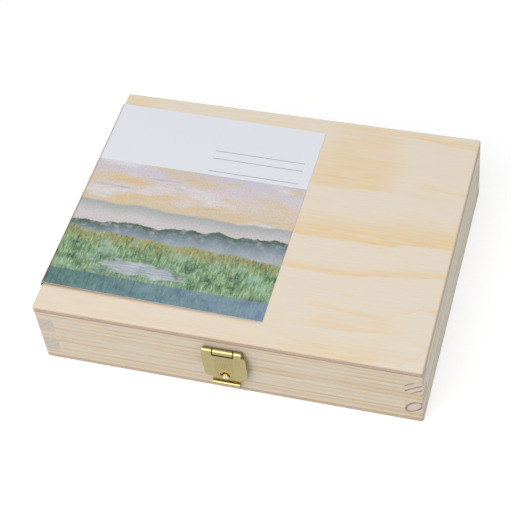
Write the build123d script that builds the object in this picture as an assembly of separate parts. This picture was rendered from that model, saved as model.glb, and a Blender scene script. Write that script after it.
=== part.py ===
from build123d import *
import math
import os

# Small pine box for watercolor tubes, closed. X runs along the front, Y from front to back, Z up.
# The origin is the centre of the underside. All sizes are in millimetres.

# Carcass: four finger-jointed pine boards and two plywood panels, glued up closed and sawn in two
box_length = 222.0
box_depth = 172.0
box_height = 47.0
board = 10.0
panel = 3.0
split_height = 23.5
lid_seam = 0.15
corner_round = 1.4
top_round = 1.0
bottom_round = 1.8

# Corner fingers, from the bottom panel up; the top finger takes what is left under the lid panel
foot_finger = 5.3
low_side_finger = 10.6
middle_finger = 7.8
high_side_finger = 10.0

# Dividers, set in grooves
divider_height = 17.0
trough_width = 36.0
trough_divider_thick = 3.5
bay_count = 5
bay_divider_thick = 3.0
board_groove = 2.0
divider_groove = 1.2

# Brass nails
nail_shank_radius = 0.6
nail_length = 7.0
nail_point = 1.3
nail_head_radius = 1.25
nail_head_height = 0.5

# Brass hasp on the front
hasp_x = 0.6
hasp_sheet = 0.8
hasp_axis_height = 37.6
hasp_barrel_radius = 1.9
hasp_pin_radius = 1.05
hasp_barrel_length = 23.5
hasp_centre_knuckle = 11.4
knuckle_gap = 0.6
wood_clearance = 0.2
pin_clearance = 0.05
pin_end = 0.5
leaf_half_width = 8.8
leaf_above_split = 1.4
leaf_nail_x = 6.2
leaf_nail_above_split = 4.4
flap_width = 25.2
flap_shift = 0.4
flap_bottom = 16.1
flap_corner_round = 3.0
flap_shoulder_round = 0.6
notch_radius = 2.9
notch_height = 5.5
bulge_radius = 5.2
bulge_proud = 0.9
bulge_above_notch = 2.1

# Brass catch on the base
catch_shift = -0.5
catch_width = 16.4
catch_sheet = 0.8
catch_top = 21.6
catch_bend = 12.6
lip_roll_radius = 1.25
lip_roll_out = 3.3
lip_roll_height = 8.9
catch_nail_x = 5.4
catch_nail_height = 19.4
nose_radius = 2.1
nose_proud = 1.0
nose_top = 20.5
nose_tip = 12.9
crease_radius = 0.5
crease_depth = 0.35

# Brass butt hinges at the back
hinge_x = 68.0
hinge_width = 25.0
hinge_sheet = 0.8
hinge_leaf_height = 9.5
hinge_barrel_radius = 1.6
hinge_pin_radius = 0.8
hinge_centre_knuckle = 9.0
hinge_nail_x = 8.0
hinge_nail_from_axis = 6.2
hinge_leaf_round = 1.0

# Printed card on the lid
card_thick = 0.35
card_right = 18.3
card_back_left = 76.8
card_back_right = 74.2
card_front_left = -69.2
card_front_right = -70.6
card_above_split = 0.7

# Paint tubes of 15 ml, one in each bay
tube_radius = 10.5
tube_length = 105.0
tube_rest_gap = 0.1
label_thick = 0.15
label_length = 30.0
shoulder_length = 3.5
round_length = 34.0
crimp_length = 8.0
crimp_width = 31.0
crimp_thick = 2.4
flat_half_width = 15.8
flat_half_height = 1.0
neck_radius = 4.5
neck_length = 9.5
cap_radius = 8.0
cap_length = 15.0
cap_gap = 0.75
cap_clearance = 0.06
cap_end_space = 0.6
cap_flutes = 24
cap_flute_radius = 0.6
cap_edge_bevel = 0.8

front = -box_depth / 2
back = box_depth / 2
right = box_length / 2
inside_x = right - board
inside_y = back - board
lid_panel_under = box_height - panel
base_rim = split_height - lid_seam
parts = {}


def block(x0, x1, y0, y1, z0, z1):
    """A box given by its lowest and highest coordinates."""
    centre = Pos((x0 + x1) / 2, (y0 + y1) / 2, (z0 + z1) / 2)
    return centre * Box(x1 - x0, y1 - y0, z1 - z0)


def rod(x0, x1, y, z, radius):
    """A cylinder along X."""
    return Pos((x0 + x1) / 2, y, z) * Rot(0, 90, 0) * Cylinder(radius, x1 - x0)


def rounded_box(grow=0.0):
    """The outside of the closed box, or a skin that stands off it by grow."""
    size = (box_length + 2 * grow, box_depth + 2 * grow, box_height + 2 * grow)
    body = Pos(0, 0, box_height / 2) * Box(*size)
    body = fillet(body.edges().filter_by(Axis.Z), corner_round + grow)
    body = fillet(body.edges().group_by(Axis.Z)[-1], top_round + grow)
    return fillet(body.edges().group_by(Axis.Z)[0], bottom_round + grow)


outside = rounded_box()

# Heights where the corner fingers change over
finger_steps = [panel]
for step in (foot_finger, low_side_finger, middle_finger, high_side_finger):
    finger_steps.append(finger_steps[-1] + step)
finger_steps.append(lid_panel_under)
finger_bands = list(zip(finger_steps, finger_steps[1:]))
long_board_fingers = finger_bands[0::2]
side_board_fingers = finger_bands[1::2]


def long_board(side, low, high):
    """Front (side -1) or back (side 1) board, notched where the side boards' fingers pass."""
    y0, y1 = sorted((side * inside_y, side * back))
    body = block(-right, right, y0, y1, low, high)
    for z0, z1 in side_board_fingers:
        for x0, x1 in ((-right, -inside_x), (inside_x, right)):
            body -= block(x0, x1, y0, y1, z0, z1)
    return body & outside


def side_board(side, low, high):
    """Left (side -1) or right (side 1) board, notched where the long boards' fingers pass."""
    x0, x1 = sorted((side * inside_x, side * right))
    body = block(x0, x1, front, back, low, high)
    for z0, z1 in long_board_fingers:
        for y0, y1 in ((front, -inside_y), (inside_y, back)):
            body -= block(x0, x1, y0, y1, z0, z1)
    return body & outside


def carcass(name, low, high):
    parts[name + "_front_board"] = long_board(-1, low, high)
    parts[name + "_back_board"] = long_board(1, low, high)
    parts[name + "_left_board"] = side_board(-1, low, high)
    parts[name + "_right_board"] = side_board(1, low, high)


carcass("base", panel, base_rim)
carcass("lid", split_height, lid_panel_under)
parts["base_panel"] = block(-right, right, front, back, 0, panel) & outside
parts["lid_panel"] = block(-right, right, front, back, lid_panel_under, box_height) & outside


# Dividers: one long, along the brush trough, and short ones between the tube bays
divider_top = panel + divider_height
trough_back = -inside_y + trough_width
bay_front = trough_back + trough_divider_thick
bay_width = (2 * inside_x - (bay_count - 1) * bay_divider_thick) / bay_count
bay_centres = [-inside_x + bay_width / 2 + i * (bay_width + bay_divider_thick) for i in range(bay_count)]

trough_divider = block(
    -inside_x - board_groove, inside_x + board_groove, trough_back, bay_front, panel, divider_top
)
for i, bay_x in enumerate(bay_centres[:-1], start=1):
    x0 = bay_x + bay_width / 2
    divider = block(
        x0, x0 + bay_divider_thick, bay_front - divider_groove, inside_y + board_groove, panel, divider_top
    )
    trough_divider -= divider
    parts["base_back_board"] -= divider
    parts[f"bay_divider_{i}"] = divider
parts["trough_divider"] = trough_divider
parts["base_left_board"] -= trough_divider
parts["base_right_board"] -= trough_divider


def nail(x, y, z, outward):
    """A round-headed nail whose head sits on the face at y, driven away from outward (-1 or 1)."""
    shank = Pos(0, 0, -(nail_length - nail_point) / 2) * Cylinder(nail_shank_radius, nail_length - nail_point)
    point = Pos(0, 0, -nail_length + nail_point / 2) * Cone(nail_shank_radius / 6, nail_shank_radius, nail_point)
    head = Pos(0, 0, nail_head_height / 2) * Cylinder(nail_head_radius, nail_head_height)
    head = fillet(head.edges().group_by(Axis.Z)[-1], nail_head_height * 0.7)
    return Plane(origin=(x, y, z), z_dir=(0, outward, 0)) * (shank + point + head)


def drive(nails, *through):
    """Cuts the nails' holes in the nodes that they pass through."""
    for name in through:
        for one in nails:
            parts[name] -= one


# Hasp. Depths are measured outwards from the front face; the barrel just clears the wood
barrel_y = front - wood_clearance - hasp_barrel_radius
flap_front = barrel_y - hasp_barrel_radius
centre_x0, centre_x1 = hasp_x - hasp_centre_knuckle / 2, hasp_x + hasp_centre_knuckle / 2
barrel_x0, barrel_x1 = hasp_x - hasp_barrel_length / 2, hasp_x + hasp_barrel_length / 2
knuckle_under = hasp_axis_height - hasp_barrel_radius - knuckle_gap


def hasp_leaf():
    """Leaf nailed to the lid behind the flap, with the centre knuckle rolled from its neck."""
    leaf_face = front - hasp_sheet
    plate = block(
        hasp_x - leaf_half_width, hasp_x + leaf_half_width, leaf_face, front,
        split_height + leaf_above_split, knuckle_under,
    )
    neck = block(centre_x0, centre_x1, leaf_face, front, knuckle_under, hasp_axis_height)
    barrel = rod(centre_x0, centre_x1, barrel_y, hasp_axis_height, hasp_barrel_radius)
    bore = rod(centre_x0, centre_x1, barrel_y, hasp_axis_height, hasp_pin_radius + pin_clearance)
    return plate + neck + barrel - bore


def hasp_flap():
    """Flap hung from two outer knuckles, with an open arch and a pressed bulge over the nose."""
    x0 = hasp_x + flap_shift - flap_width / 2
    x1 = x0 + flap_width
    flap_back = flap_front + hasp_sheet
    plate = block(x0, x1, flap_front, flap_back, flap_bottom, hasp_axis_height)
    upright = plate.edges().filter_by(Axis.Y)
    plate = fillet(upright.group_by(Axis.Z)[0], flap_corner_round)
    plate = fillet(plate.edges().filter_by(Axis.Y).group_by(Axis.Z)[-1], flap_shoulder_round)
    plate -= block(
        centre_x0 - knuckle_gap, centre_x1 + knuckle_gap, flap_front, flap_back,
        knuckle_under, hasp_axis_height,
    )
    # The bulge is a cap of a hollow ball, pressed out of the sheet
    arch_z = flap_bottom + notch_height - notch_radius
    ball_y = flap_front - bulge_proud + bulge_radius
    cap_z = flap_bottom + notch_height + bulge_above_notch
    seen_radius = math.sqrt(bulge_radius**2 - (bulge_radius - bulge_proud) ** 2)
    ball = Pos(hasp_x, ball_y, cap_z - seen_radius)
    in_front = block(x0, x1, flap_front - bulge_proud, flap_back, flap_bottom, hasp_axis_height)
    plate -= ball * Sphere(bulge_radius - hasp_sheet)
    plate += (ball * Sphere(bulge_radius) & in_front) - ball * Sphere(bulge_radius - hasp_sheet)
    arch = Pos(hasp_x, flap_front, arch_z) * Rot(90, 0, 0) * Cylinder(notch_radius, 4 * bulge_radius)
    arch += block(
        hasp_x - notch_radius, hasp_x + notch_radius,
        flap_front - 2 * bulge_radius, flap_front + 2 * bulge_radius, flap_bottom - notch_radius, arch_z,
    )
    flap = plate - arch
    for k0, k1 in ((barrel_x0, centre_x0 - knuckle_gap), (centre_x1 + knuckle_gap, barrel_x1)):
        flap += rod(k0, k1, barrel_y, hasp_axis_height, hasp_barrel_radius)
    return flap - rod(barrel_x0, barrel_x1, barrel_y, hasp_axis_height, hasp_pin_radius)


parts["hasp_leaf"] = hasp_leaf()
parts["hasp_flap"] = hasp_flap()
parts["hasp_pin"] = rod(barrel_x0, barrel_x1 + pin_end, barrel_y, hasp_axis_height, hasp_pin_radius)
leaf_nails = [
    nail(hasp_x + side * leaf_nail_x, front - hasp_sheet, split_height + leaf_nail_above_split, -1)
    for side in (-1, 1)
]
drive(leaf_nails, "hasp_leaf", "lid_front_board")
parts["hasp_leaf_nails"] = Compound(leaf_nails)


# Catch
def catch_plate():
    """Plate nailed to the base: its foot leans out to a rolled lip, and its nose fills the arch."""
    x0 = hasp_x + catch_shift - catch_width / 2
    x1 = x0 + catch_width

    def along(profile):
        """Extrudes a profile of (distance out from the front face, height) over the plate's width."""
        points = [(front - out, z) for out, z in profile]
        face = make_face(Polyline(*points, close=True))
        return extrude(Plane(origin=(x0, 0, 0), x_dir=(0, 1, 0), z_dir=(1, 0, 0)) * face, x1 - x0)

    plate = along([(0, catch_bend), (catch_sheet, catch_bend), (catch_sheet, catch_top), (0, catch_top)])
    # The lip leaves the plate at the bend and runs tangent to the middle of the roll's wall
    half = catch_sheet / 2
    wall_radius = lip_roll_radius - half
    out, down = lip_roll_out - half, lip_roll_height - catch_bend
    reach = math.hypot(out, down)
    angle = math.atan2(down, out) - math.asin(wall_radius / reach)
    run = math.sqrt(reach**2 - wall_radius**2)
    ux, uz = math.cos(angle), math.sin(angle)
    start = (half, catch_bend)
    end = (start[0] + run * ux, start[1] + run * uz)
    lip = along([
        (start[0] + half * uz, start[1] - half * ux), (end[0] + half * uz, end[1] - half * ux),
        (end[0] - half * uz, end[1] + half * ux), (start[0] - half * uz, start[1] + half * ux),
    ])
    bend = rod(x0, x1, front - half, catch_bend, half)
    roll_y = front - lip_roll_out
    roll = rod(x0, x1, roll_y, lip_roll_height, lip_roll_radius)
    hollow = rod(x0, x1, roll_y, lip_roll_height, lip_roll_radius - catch_sheet)
    # Nose: a round-ended ridge that stands through the flap's arch, creased down the middle
    nose_y = flap_front - nose_proud + nose_radius
    low, high = nose_tip + nose_radius, nose_top - nose_radius
    nose = Pos(hasp_x, nose_y, (low + high) / 2) * Cylinder(nose_radius, high - low)
    nose += Pos(hasp_x, nose_y, low) * Sphere(nose_radius)
    nose += Pos(hasp_x, nose_y, high) * Sphere(nose_radius)
    root = Pos(hasp_x, (nose_y + front) / 2, (low + high) / 2) * Box(
        2 * nose_radius, front - nose_y, high - low
    )
    crease_y = flap_front - nose_proud - crease_radius + crease_depth
    crease = Pos(hasp_x, crease_y, (nose_tip + nose_top) / 2) * Cylinder(crease_radius, nose_top - nose_tip)
    return plate + bend + lip + roll - hollow + (nose + root - crease)


parts["catch_plate"] = catch_plate()
catch_nails = [
    nail(hasp_x + catch_shift + side * catch_nail_x, front - catch_sheet, catch_nail_height, -1)
    for side in (-1, 1)
]
drive(catch_nails, "catch_plate", "base_front_board")
parts["catch_nails"] = Compound(catch_nails)


# Butt hinges: the pin's axis is level with the seam and just clears the back face
hinge_axis_y = back + wood_clearance + hinge_barrel_radius
hinge_axis_z = (base_rim + split_height) / 2
knuckle_clear = hinge_barrel_radius + knuckle_gap


def hinge_leaf(x, up, knuckles):
    """Leaf on the back face, above the seam (up 1) or below it (up -1), with its knuckles."""
    near, far = hinge_axis_z + up * knuckle_clear, hinge_axis_z + up * hinge_leaf_height
    leaf_face = back + hinge_sheet
    leaf = block(x - hinge_width / 2, x + hinge_width / 2, back, leaf_face, min(near, far), max(near, far))
    corners = leaf.edges().filter_by(Axis.Y).sort_by(Axis.Z)
    leaf = fillet(corners[-2:] if up > 0 else corners[:2], hinge_leaf_round)
    for x0, x1 in knuckles:
        web = block(x0, x1, back, leaf_face, min(near, hinge_axis_z), max(near, hinge_axis_z))
        leaf += web + rod(x0, x1, hinge_axis_y, hinge_axis_z, hinge_barrel_radius)
    for x0, x1 in knuckles:
        leaf -= rod(x0, x1, hinge_axis_y, hinge_axis_z, hinge_pin_radius + (pin_clearance if up > 0 else 0))
    return leaf


base_hinge_nails, lid_hinge_nails = [], []
for side, x in (("left", -hinge_x), ("right", hinge_x)):
    half_centre = hinge_centre_knuckle / 2
    edge = hinge_width / 2
    outer = [(x - edge, x - half_centre - knuckle_gap), (x + half_centre + knuckle_gap, x + edge)]
    parts[f"{side}_hinge_base_leaf"] = hinge_leaf(x, -1, outer)
    parts[f"{side}_hinge_lid_leaf"] = hinge_leaf(x, 1, [(x - half_centre, x + half_centre)])
    parts[f"{side}_hinge_pin"] = rod(x - edge, x + edge, hinge_axis_y, hinge_axis_z, hinge_pin_radius)
    for up, leaf, wood, nails in (
        (-1, f"{side}_hinge_base_leaf", "base_back_board", base_hinge_nails),
        (1, f"{side}_hinge_lid_leaf", "lid_back_board", lid_hinge_nails),
    ):
        z = hinge_axis_z + up * hinge_nail_from_axis
        pair = [nail(x + hand * hinge_nail_x, back + hinge_sheet, z, 1) for hand in (-1, 1)]
        drive(pair, leaf, wood)
        nails.extend(pair)
parts["base_hinge_nails"] = Compound(base_hinge_nails)
parts["lid_hinge_nails"] = Compound(lid_hinge_nails)


# Card: a skin on the lid panel, folded down over the left edge and ending above the seam
card_plan = Polygon(
    (-right - box_height, card_front_left), (card_right, card_front_right),
    (card_right, card_back_right), (-right - box_height, card_back_left), align=None,
)
card_low = split_height + card_above_split
card_region = Pos(0, 0, card_low) * extrude(card_plan, box_height)
parts["label_card"] = (rounded_box(card_thick) - outside) & card_region


# Paint tubes: each lies in its bay, cap towards the trough, crimp down on the floor
tube_floor = panel + tube_rest_gap
tube_axis_z = tube_floor + label_thick + tube_radius
cap_front = (bay_front + inside_y - tube_length) / 2
cap_back = cap_front + cap_length
shoulder_front = cap_back + cap_gap
shoulder_back = shoulder_front + shoulder_length
round_back = shoulder_back + round_length
flat_back = cap_front + tube_length - crimp_length


def across(x, y, z):
    """A plane square to the tube, facing the crimp, whose own X is the box's X."""
    return Plane(origin=(x, y, z), x_dir=(1, 0, 0), z_dir=(0, 1, 0))


def turned(x, y0, y1, z, radius):
    """A cylinder along Y."""
    return extrude(across(x, y0, z) * Circle(radius), y1 - y0)


def tube(x):
    """Aluminium tube: neck, shoulder, round body, flattening to a folded crimp."""
    neck = turned(x, shoulder_front - neck_length, shoulder_front, tube_axis_z, neck_radius)
    shoulder = loft([
        across(x, shoulder_front, tube_axis_z) * Circle(neck_radius + cap_gap),
        across(x, shoulder_back, tube_axis_z) * Circle(tube_radius),
    ])
    body = turned(x, shoulder_back, round_back, tube_axis_z, tube_radius)
    # The girth stays the same as the tube flattens, so the middle section is wider and lower
    middle_half_width = (tube_radius + flat_half_width) / 2 + 1.0
    middle_half_height = (tube_radius + flat_half_height) / 2
    body += loft([
        across(x, round_back, tube_axis_z) * Circle(tube_radius),
        across(x, (round_back + flat_back) / 2, tube_floor + middle_half_height)
        * Ellipse(middle_half_width, middle_half_height),
        across(x, flat_back, tube_floor + flat_half_height) * Ellipse(flat_half_width, flat_half_height),
    ])
    crimp = block(
        x - crimp_width / 2, x + crimp_width / 2, flat_back, flat_back + crimp_length,
        tube_floor, tube_floor + crimp_thick,
    )
    crimp = fillet(crimp.edges().filter_by(Axis.X), crimp_thick / 3)
    return neck + shoulder + body + crimp


def tube_cap(x):
    """Fluted screw cap over the neck."""
    cap = turned(x, cap_front, cap_back, tube_axis_z, cap_radius)
    cap = chamfer(cap.edges().group_by(Axis.Y)[0], cap_edge_bevel)
    flute_ring = cap_radius + cap_flute_radius / 2
    flutes = []
    for i in range(cap_flutes):
        turn = 2 * math.pi * i / cap_flutes
        across_x, across_z = flute_ring * math.cos(turn), flute_ring * math.sin(turn)
        flutes.append(turned(x + across_x, cap_front - 1, cap_back + 1, tube_axis_z + across_z, cap_flute_radius))
    cap -= flutes
    bore_front = shoulder_front - neck_length - cap_end_space
    return cap - turned(x, bore_front, cap_back, tube_axis_z, neck_radius + cap_clearance)


def tube_label(x):
    y0 = shoulder_back + (round_length - label_length) / 2
    sleeve = turned(x, y0, y0 + label_length, tube_axis_z, tube_radius + label_thick)
    return sleeve - turned(x, y0, y0 + label_length, tube_axis_z, tube_radius)


for i, bay_x in enumerate(bay_centres, start=1):
    parts[f"paint_tube_{i}"] = tube(bay_x)
    parts[f"tube_cap_{i}"] = tube_cap(bay_x)
    parts[f"tube_label_{i}"] = tube_label(bay_x)

os.makedirs("parts", exist_ok=True)
for name, shape in parts.items():
    export_step(shape, f"parts/{name}.step")
print("Hinge axis: y", round(hinge_axis_y, 3), "z", round(hinge_axis_z, 3))
print("Hasp axis: y", round(barrel_y, 3), "z", round(hasp_axis_height, 3))
print("Tube axes: x", [round(x, 3) for x in bay_centres], "z", round(tube_axis_z, 3))
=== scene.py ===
"""A small pine box for tubes of watercolour, closed by a brass hasp, dressed on its CAD frame."""
import math

import bmesh
import bpy
from bmesh.types import BMEdge, BMFace, BMVert
from mathutils import Matrix, Vector, noise


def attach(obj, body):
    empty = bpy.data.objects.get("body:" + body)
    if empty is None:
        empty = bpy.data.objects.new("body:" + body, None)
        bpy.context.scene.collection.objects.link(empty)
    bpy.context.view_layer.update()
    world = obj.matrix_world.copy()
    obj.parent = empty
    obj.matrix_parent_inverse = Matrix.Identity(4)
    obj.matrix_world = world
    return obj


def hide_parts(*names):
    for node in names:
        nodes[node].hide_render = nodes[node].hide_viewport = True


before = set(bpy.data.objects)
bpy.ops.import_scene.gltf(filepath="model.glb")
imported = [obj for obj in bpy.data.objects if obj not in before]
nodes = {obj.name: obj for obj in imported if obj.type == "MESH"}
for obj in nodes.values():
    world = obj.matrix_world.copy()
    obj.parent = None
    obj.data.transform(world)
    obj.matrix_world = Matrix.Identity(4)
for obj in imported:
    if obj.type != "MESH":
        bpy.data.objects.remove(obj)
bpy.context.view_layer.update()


# The photographer's place: a long lens in front, high up and a little to the right, the camera
# turned clockwise. Its numbers come from the corners and edges of the box that show.
azimuth, elevation, roll = math.radians(21.238), math.radians(50.044), math.radians(7.768)
turned = (
    Matrix.Rotation(azimuth, 4, "Z")
    @ Matrix.Rotation(math.pi / 2 - elevation, 4, "X")
    @ Matrix.Rotation(-roll, 4, "Z")
)
# In the photo's pixels
width, focal_length, middle_x, middle_y = 512, 1491.86, 268.18, 251.0
lens = bpy.data.cameras.new("camera")
lens.lens = 36 * focal_length / width
lens.shift_x, lens.shift_y = 0.5 - middle_x / width, middle_y / width - 0.5
camera = bpy.data.objects.new("camera", lens)
camera.matrix_world = Matrix.Translation((0.205377, -0.526609, 0.694355)) @ turned
scene = bpy.context.scene
scene.collection.objects.link(camera)
scene.camera = camera
scene.view_settings.view_transform = "Standard"


# The studio: a white sweep lit by one large soft box high on the left, with the room's own light
# from all round, so that the right side of the box is the darkest and shadows stay faint.
def linear(hex_colour):
    """An sRGB hex colour as linear RGBA."""
    channels = [int(hex_colour[i:i + 2], 16) / 255 for i in (1, 3, 5)]
    return [c / 12.92 if c <= 0.04045 else ((c + 0.055) / 1.055) ** 2.4 for c in channels] + [1.0]


def blank(name, kind=bpy.data.materials):
    """A new material or world whose node tree is empty."""
    owner = kind.new(name)
    owner.use_nodes = True
    owner.node_tree.nodes.clear()
    return owner


def add(owner, kind, sockets=None, stops=None, **settings):
    """Adds a shader node to a material or world, its sockets filled or linked, and its stops and settings
    set. A node given as a value stands for its first output in use, and a colour is given in sRGB hex.
    A Mix node mixes colours unless its settings say otherwise."""
    tree = owner.node_tree
    node = tree.nodes.new("ShaderNode" + kind)
    if kind == "Mix":
        node.data_type = "RGBA"
    for name, value in settings.items():
        setattr(node, name, value)
    for name, value in (sockets or {}).items():
        if isinstance(value, bpy.types.Node):
            value = next(output for output in value.outputs if output.enabled)
        if isinstance(value, bpy.types.NodeSocket):
            tree.links.new(value, node.inputs[name])
        else:
            node.inputs[name].default_value = linear(value) if isinstance(value, str) else value
    if stops:
        elements = node.color_ramp.elements
        while len(elements) < len(stops):
            elements.new(1.0)
        for element, (place, colour) in zip(elements, stops):
            element.position = place
            element.color = linear(colour) if isinstance(colour, str) else [colour, colour, colour, 1.0]
    return node


def seen_directly(owner):
    """1 for a ray from the camera or from a mirror or glass, 0 for light on its way to a matt surface."""
    path = add(owner, "LightPath").outputs
    mirrored = add(
        owner, "Math", {0: path["Is Camera Ray"], 1: path["Is Glossy Ray"]},
        operation="MAXIMUM",
    )
    return add(owner, "Math", {0: mirrored, 1: path["Is Transmission Ray"]}, operation="MAXIMUM")


room = blank("room", bpy.data.worlds)
room_light = add(room, "Background", {"Color": "#FFFFFF", "Strength": 0.5})
room_white = add(room, "Background", {"Color": "#FFFFFF"})
room_shown = add(room, "MixShader", {0: seen_directly(room), 1: room_light, 2: room_white})
add(room, "OutputWorld", {0: room_shown})
scene.world = room

sweep = blank("white_paper_sweep")
paper = add(sweep, "BsdfDiffuse", {"Color": "#E6E6E6"})
shade = add(sweep, "BsdfDiffuse", {"Color": "#A0A0A0"})
glow = add(sweep, "Emission", {"Color": "#FFFFFF", "Strength": 0.72})
glowing = add(sweep, "AddShader", {0: shade, 1: glow})
sweep_shown = add(sweep, "MixShader", {0: seen_directly(sweep), 1: paper, 2: glowing})
add(sweep, "OutputMaterial", {0: sweep_shown})

shape = bmesh.new()
bmesh.ops.create_grid(shape, x_segments=1, y_segments=1, size=6.0)
floor_mesh = bpy.data.meshes.new("floor")
shape.to_mesh(floor_mesh)
shape.free()
floor_mesh.materials.append(sweep)
floor = bpy.data.objects.new("floor", floor_mesh)
scene.collection.objects.link(floor)


def soft_box(name, place, size, watts):
    """A square soft box at a place, in metres, facing the middle of the box."""
    light = bpy.data.lights.new(name, "AREA")
    light.shape, light.size, light.energy = "SQUARE", size, watts
    lamp = bpy.data.objects.new(name, light)
    towards = Vector((0, 0, 0.02)) - Vector(place)
    lamp.matrix_world = Matrix.Translation(place) @ towards.to_track_quat("-Z", "Y").to_matrix().to_4x4()
    scene.collection.objects.link(lamp)


soft_box("key_soft_box", (-0.32, -1.1, 1.58), 1.2, 20.4)
soft_box("right_fill", (1.6, -0.3, 0.8), 0.8, 1.3)


# Carcass boards: solid pine, planed and sanded, left bare. The growth rings run as straight lines
# along the faces, and show as arcs on the ends of the glued corner fingers.
def surfaced(owner, sockets, height=None, strength=0.0, depth=0.0):
    """Ends a material with its surface. A height gives it a relief of this strength and depth, in m."""
    if height:
        relief = {"Strength": strength, "Distance": depth, "Height": height}
        sockets["Normal"] = add(owner, "Bump", relief)
    add(owner, "OutputMaterial", {0: add(owner, "BsdfPrincipled", sockets)})


def sawn_pine(name, along, pith, ring_mm, early, late, end_early, end_late, seed, lean=0.0, oval=1.0):
    """Bare pine sawn with its grain along X or Y, from a log whose pith passes at pith (across, up) in mm.
    Its rings may be ovals, so many times longer than wide, that lean by some degrees."""
    wood = blank(name)
    place = add(wood, "TexCoord").outputs
    quarter = -math.pi / 2 if along == "Y" else 0.0
    across = pith[0] / 1000 if along == "Y" else -pith[0] / 1000
    # The grain now lies along the first axis, and the pith on it
    log = add(wood, "Mapping", {
        "Vector": place["Object"], "Rotation": (0, 0, quarter),
        "Location": (seed, across, -pith[1] / 1000),
    })
    # What bends the rings is drawn out along the log
    drawn_out = add(wood, "Mapping", {
        "Vector": log, "Rotation": (math.radians(lean), 0, 0), "Scale": (1 / 0.12, oval, 1),
    }, vector_type="TEXTURE")
    rings = add(wood, "TexWave", {
        "Vector": drawn_out, "Scale": 314.159 / ring_mm, "Distortion": 1.6, "Detail Scale": 0.35,
        "Detail Roughness": 0.4,
    }, wave_type="RINGS", rings_direction="X", wave_profile="SAW").outputs["Fac"]
    latewood = add(wood, "ValToRGB", {0: rings}, stops=[
        (0, 0.45), (0.06, 0), (0.22, 0), (0.4, 0.35), (0.68, 0.5), (0.83, 1), (0.93, 0.9),
        (1, 0.45),
    ])
    # Some years' rings are strong and some faint
    years = add(wood, "TexNoise", {"Vector": drawn_out, "Scale": 150, "Roughness": 0.6})
    strength = add(wood, "MapRange", {0: years, 1: 0.35, 2: 0.65, 3: 0.25})
    ring = add(wood, "Math", {0: latewood, 1: strength}, operation="MULTIPLY")
    # Fibres about 0.4 mm apart and 15 mm long
    fibre_lines = add(wood, "Mapping", {"Vector": log, "Scale": (0.03, 1, 1)})
    fibres = add(wood, "TexNoise", {"Vector": fibre_lines, "Scale": 1900, "Detail": 3, "Roughness": 0.65})
    pores = add(wood, "TexNoise", {"Vector": log, "Scale": 2300, "Roughness": 0.7})
    # Finer growth lines 1 mm apart run the board's whole length between the rings
    fine_lines = add(wood, "Mapping", {"Vector": log, "Scale": (0.006, 1, 1)})
    fine = add(wood, "TexNoise", {"Vector": fine_lines, "Scale": 620, "Detail": 3, "Roughness": 0.6})
    fine_ring = add(wood, "MapRange", {0: fine, 1: 0.42, 2: 0.66, 3: -0.18, 4: 0.42})
    face_ring = add(wood, "Math", {0: ring, 1: fine_ring}, operation="ADD", use_clamp=True)
    # The cut across the grain is cooler and duller, with its late wood almost brown
    facing = add(wood, "SeparateXYZ", {0: place["Normal"]}).outputs
    squareness = add(wood, "Math", {0: facing[along]}, operation="ABSOLUTE")
    end_cut = add(wood, "MapRange", {0: squareness, 1: 0.72, 2: 0.9})
    face_colour = add(wood, "Mix", {0: face_ring, 6: early, 7: late})
    end_lines = add(wood, "ValToRGB", {0: rings}, stops=[
        (0, 0.1), (0.06, 0), (0.62, 0.12), (0.78, 1), (0.93, 0.85), (1, 0.1),
    ])
    evened = add(wood, "Math", {0: strength, 1: 0.5, 2: 0.5}, operation="MULTIPLY_ADD")
    end_line = add(wood, "Math", {0: end_lines, 1: evened}, operation="MULTIPLY")
    end_colour = add(wood, "Mix", {0: end_line, 6: end_early, 7: end_late})
    cut_colour = add(wood, "Mix", {0: end_cut, 6: face_colour, 7: end_colour})
    grit = add(wood, "Mix", {0: end_cut, 2: fibres, 3: pores}, data_type="FLOAT")
    grit_tone = add(wood, "MapRange", {0: grit, 1: 0.3, 2: 0.7, 3: 0.955, 4: 1.03})
    # The last millimetre beside the panels is darker
    spot = add(wood, "SeparateXYZ", {0: place["Object"]}).outputs
    joints = add(wood, "MapRange", {0: spot["Z"], 1: 0.003, 2: 0.044})
    panel_edge_tone = add(wood, "ValToRGB", {0: joints}, stops=[
        (0, "#D9C6B8"), (0.03, "#FFFFFF"), (0.965, "#FFFFFF"), (0.99, "#CDB6A4"),
    ])
    edge_toned = add(wood, "Mix", {0: 1, 6: cut_colour, 7: panel_edge_tone}, blend_type="MULTIPLY")
    colour = add(wood, "Mix", {0: 1, 6: edge_toned, 7: grit_tone}, blend_type="MULTIPLY")
    relief = add(wood, "Math", {0: ring, 1: 0.5, 2: grit}, operation="MULTIPLY_ADD")
    rough = add(wood, "MapRange", {0: grit, 1: 0.3, 2: 0.7, 3: 0.52, 4: 0.66})
    surfaced(wood, {
        "Base Color": colour, "Roughness": rough, "IOR": 1.45, "Specular IOR Level": 0.35,
    }, relief, strength=0.35, depth=0.00012)
    return wood


def clothe(node, finish):
    """Gives a CAD node its finish."""
    mesh = nodes[node].data
    mesh.materials.clear()
    mesh.materials.append(finish)


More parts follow.
